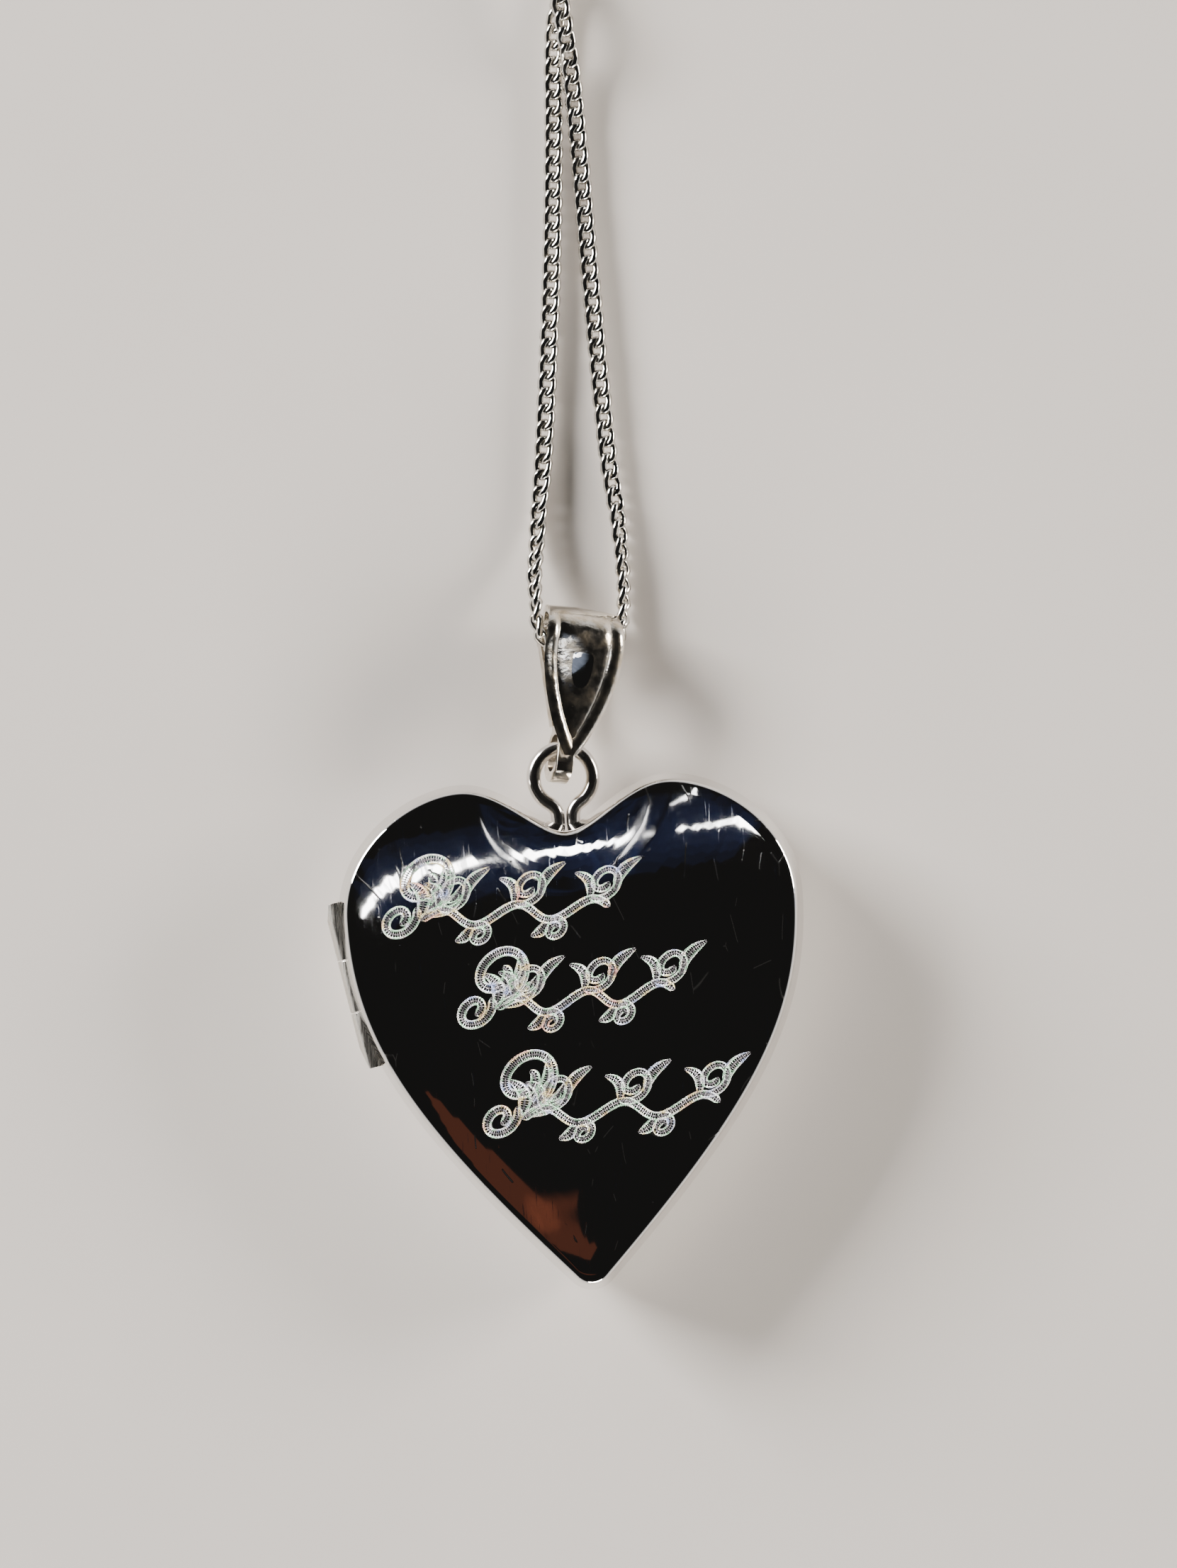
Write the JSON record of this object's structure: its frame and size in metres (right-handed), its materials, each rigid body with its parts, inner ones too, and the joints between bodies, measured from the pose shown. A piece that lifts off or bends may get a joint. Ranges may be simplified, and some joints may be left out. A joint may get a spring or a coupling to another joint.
{
  "type": "locket",
  "caption": "Heart-shaped silver locket with an engraved, mirror-polished front cover, side hinge, photo frames inside, a wire loop, a tapered bail and a fine curb chain with a spring-ring clasp.",
  "frame": {"origin": "middle of the flat on the back cover that the locket rests on, level with the table", "axes": "+Z out of the front cover, +Y from the tip of the heart to the bail and the chain, +X to the right, away from the hinge"},
  "size_m": [0.0225, 0.0809, 0.0048],
  "materials": {
    "polished_silver": "mirror polished, with fine wear scratches",
    "satin_silver": "satin",
    "cast_silver": "cast and tumbled bright, darker in the grooves",
    "chain_silver": "bright, diamond cut",
    "engraving": "hatched cuts that glitter",
    "pin_steel": "drawn wire",
    "clear_acetate": "clear",
    "photo_card": "matte"
  },
  "bodies": {
    "bail_and_chain": {"bail_body": "cast_silver", "bail_eye": "cast_silver", "bail_panel": "polished_silver", "bail_bead": "cast_silver", "chain": "chain_silver", "chain_coil": "chain_silver", "clasp_body": "polished_silver", "clasp_spring": "pin_steel", "clasp_link": "chain_silver", "end_ring": "chain_silver"},
    "locket_back": {"back_cover": "polished_silver", "hinge_knuckle_upper": "satin_silver", "hinge_knuckle_lower": "satin_silver", "hinge_pin": "pin_steel", "catch_keeper": "satin_silver", "back_photo_frame": "satin_silver", "back_photo_window": "clear_acetate", "back_photo_card": "photo_card", "bail_ring": "polished_silver"},
    "locket_front": {"front_cover": "polished_silver", "hinge_knuckle_middle": "satin_silver", "catch_tongue": "satin_silver", "front_photo_frame": "satin_silver", "front_photo_window": "clear_acetate", "front_photo_card": "photo_card"},
    "clasp_trigger": {"clasp_bolt": "pin_steel"}
  },
  "joints": [
    {"name": "locket_swing", "type": "hinge", "parent": "bail_and_chain", "child": "locket_back", "pos_m": [0, 0.01357, 0.0019], "axis": [-1, 0, 0], "range_deg": [-90, 90]},
    {"name": "cover_hinge", "type": "hinge", "parent": "locket_back", "child": "locket_front", "pos_m": [-0.01039, 0.00295, 0.0024], "axis": [0.1883, -0.9821, 0], "range_deg": [0, 130]},
    {"name": "clasp_bolt_slide", "type": "hinge", "parent": "bail_and_chain", "child": "clasp_trigger", "pos_m": [0.002, 0.06405, 0.00255], "axis": [0, 0, 1], "range_deg": [0, 50], "stiffness_Nm_per_rad": 0.0004, "deforming": ["clasp_spring"]}
  ]
}
